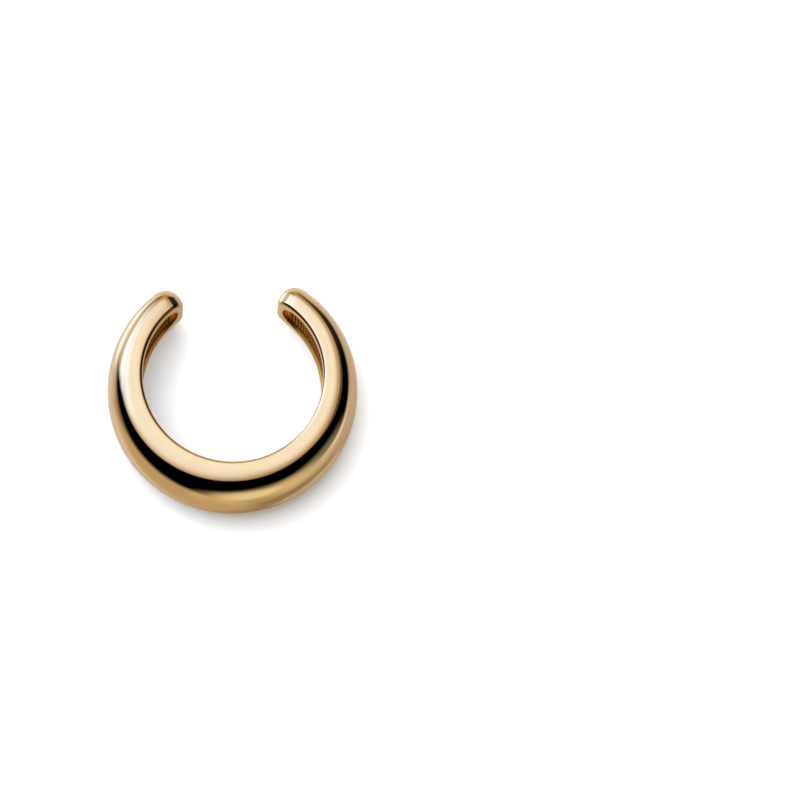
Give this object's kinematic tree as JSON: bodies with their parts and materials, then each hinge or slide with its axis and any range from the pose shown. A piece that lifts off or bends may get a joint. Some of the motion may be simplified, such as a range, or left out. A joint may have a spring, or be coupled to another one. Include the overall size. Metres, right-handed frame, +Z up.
{
  "type": "ear cuff",
  "caption": "Open C-shaped ear cuff: a domed, polished ring, widest and thickest at the belly, with rounded tips and a shallow textured channel inside.",
  "frame": {"origin": "middle of the box's base, on the surface that the cuff lies on", "axes": "+Z up, along the ring's axis; -Y towards the thick belly; +Y towards the open mouth; +X to the right seen from above with the mouth away"},
  "size_m": [0.0134, 0.0124, 0.0042],
  "materials": {
    "yellow_gold": "mirror polished yellow gold"
  },
  "bodies": {
    "root": {"cuff": "yellow_gold"}
  },
  "joints": []
}
